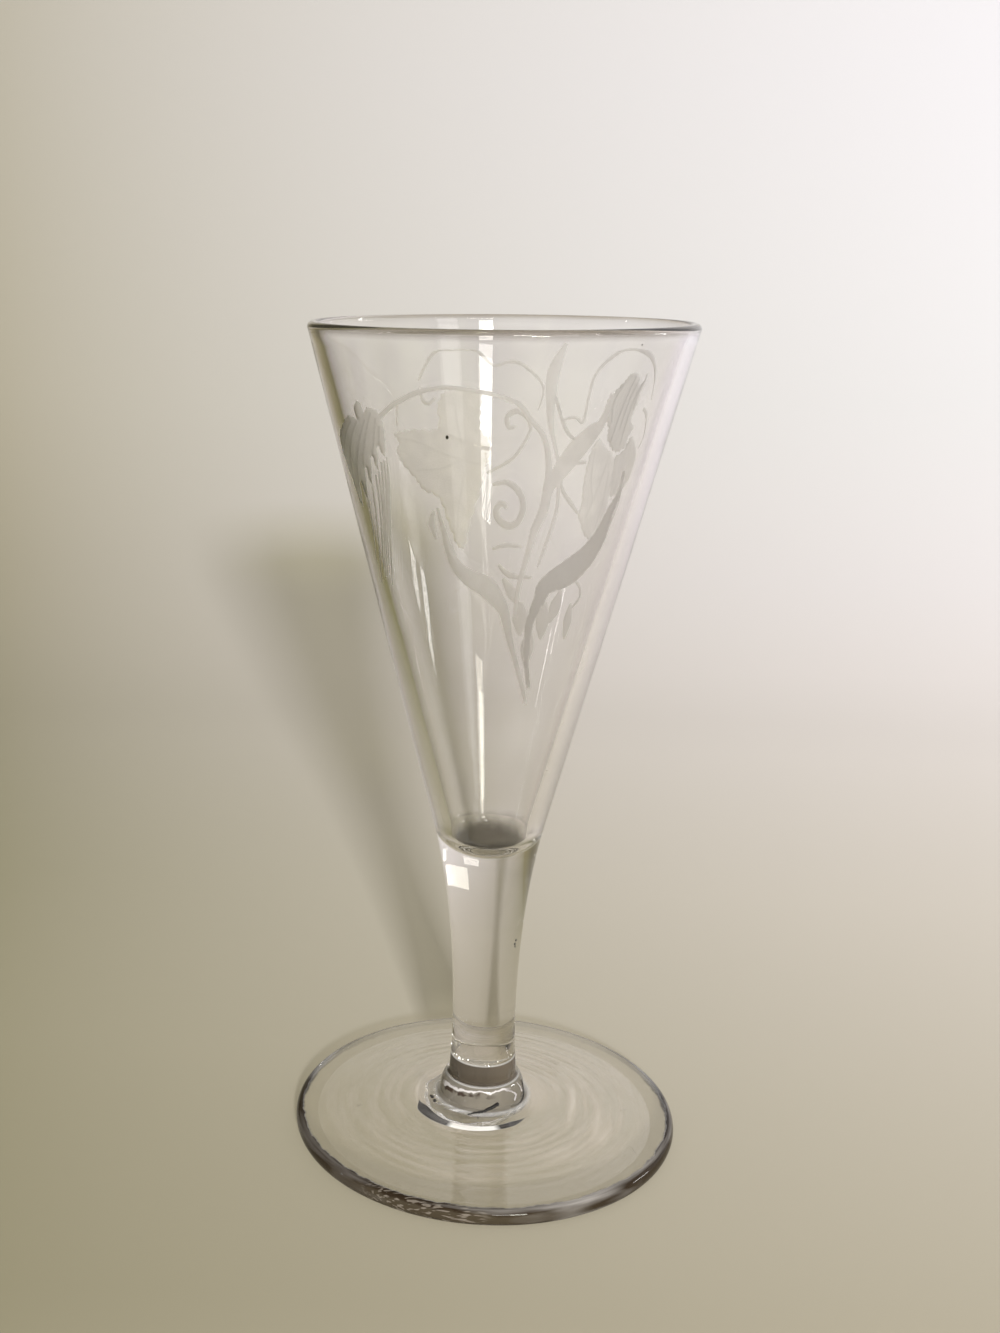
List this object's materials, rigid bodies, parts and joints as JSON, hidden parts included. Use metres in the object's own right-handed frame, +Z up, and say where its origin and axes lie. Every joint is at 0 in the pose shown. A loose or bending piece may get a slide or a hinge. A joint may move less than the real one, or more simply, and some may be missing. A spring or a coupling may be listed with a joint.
{
  "type": "ale glass",
  "caption": "Short stemmed ale glass with a straight funnel bowl, a solid drawn stem on a necked boss, and a round kicked foot.",
  "frame": {"origin": "centre of the ring that the foot stands on, in the plane of the table", "axes": "+Z up along the axis of the glass; +X to the right and +Y away from the viewer of the picture"},
  "size_m": [0.0606, 0.0606, 0.13],
  "materials": {
    "bowl": "fire-polished clear glass with a faint grey tint and wheel engraving",
    "stem": "solid clear glass with a faint grey tint and small seeds",
    "foot": "clear glass with tool rings and light wear",
    "pontil_scar": "broken glass, rough below"
  },
  "bodies": {
    "root": {"bowl": "bowl", "stem": "stem", "foot": "foot", "pontil_scar": "pontil_scar"}
  },
  "joints": []
}
